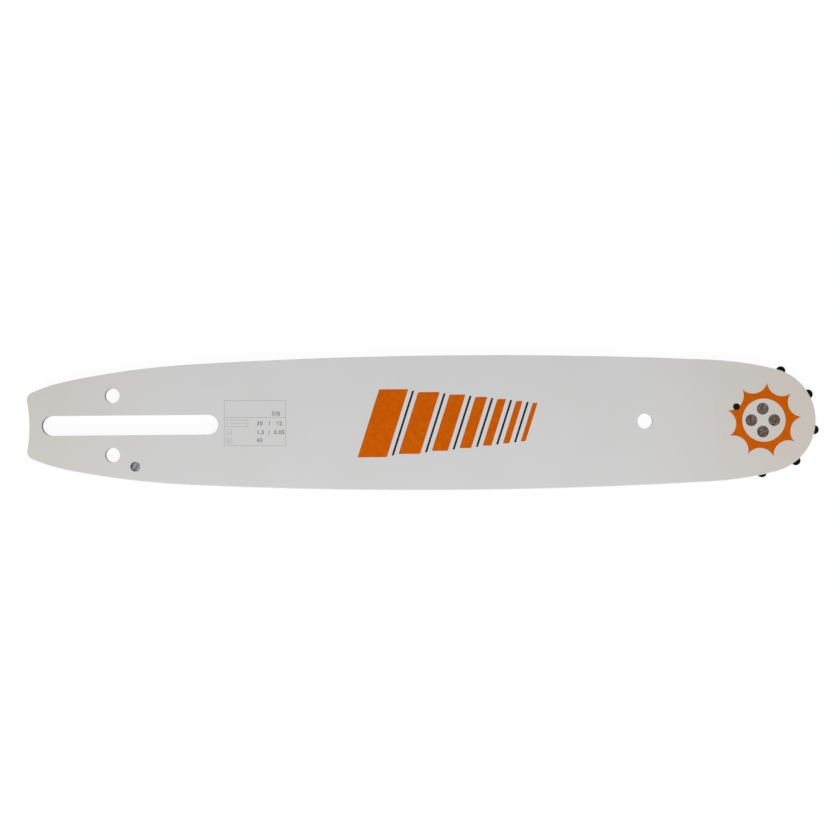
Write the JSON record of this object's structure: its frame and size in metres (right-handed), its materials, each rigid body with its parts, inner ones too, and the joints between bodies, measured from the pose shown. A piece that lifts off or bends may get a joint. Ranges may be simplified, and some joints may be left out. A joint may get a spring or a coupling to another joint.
{
  "type": "chainsaw guide bar",
  "caption": "Long flat guide bar for a chain saw: painted laminated plates with a chain groove, a stud slot at the tail and a roller-bearing sprocket in the nose.",
  "frame": {"origin": "middle of the stud slot, on the back face that the bar lies on", "axes": "+X along the bar towards the nose, +Z out of the front face"},
  "size_m": [0.3389, 0.0576, 0.0042],
  "materials": {
    "plate_paint": "satin off-white paint",
    "core_steel": "plain rolled",
    "sprocket_black": "blackened",
    "bearing_steel": "ground",
    "rivet_steel": "ground flush",
    "print_orange": "printed ink",
    "print_black": "printed ink",
    "print_grey": "printed ink"
  },
  "bodies": {
    "bar": {"front_side_plate": "plate_paint", "back_side_plate": "plate_paint", "core_plate": "core_steel", "bearing_race": "bearing_steel", "nose_rivets": "rivet_steel"},
    "sprocket": {"nose_sprocket": "sprocket_black"},
    "roller_set": {"bearing_roller_01": "bearing_steel", "bearing_roller_02": "bearing_steel", "bearing_roller_03": "bearing_steel", "bearing_roller_04": "bearing_steel", "bearing_roller_05": "bearing_steel", "bearing_roller_06": "bearing_steel", "bearing_roller_07": "bearing_steel", "bearing_roller_08": "bearing_steel", "bearing_roller_09": "bearing_steel", "bearing_roller_10": "bearing_steel", "bearing_roller_11": "bearing_steel", "bearing_roller_12": "bearing_steel", "bearing_roller_13": "bearing_steel", "bearing_roller_14": "bearing_steel", "bearing_roller_15": "bearing_steel", "bearing_roller_16": "bearing_steel", "bearing_roller_17": "bearing_steel", "bearing_roller_18": "bearing_steel", "bearing_roller_19": "bearing_steel", "bearing_roller_20": "bearing_steel", "bearing_roller_21": "bearing_steel", "bearing_roller_22": "bearing_steel", "bearing_roller_23": "bearing_steel", "bearing_roller_24": "bearing_steel"}
  },
  "joints": [
    {"name": "sprocket_spin", "type": "hinge", "parent": "bar", "child": "sprocket", "pos_m": [0.2708, 0, 0.0021], "axis": [0, 0, 1], "continuous": true},
    {"name": "roller_orbit", "type": "hinge", "parent": "bar", "child": "roller_set", "pos_m": [0.2708, 0, 0.0021], "axis": [0, 0, 1], "continuous": true}
  ],
  "couplings": [
    {"joint": "roller_orbit", "follows": "sprocket_spin", "ratio": 0.56462}
  ]
}
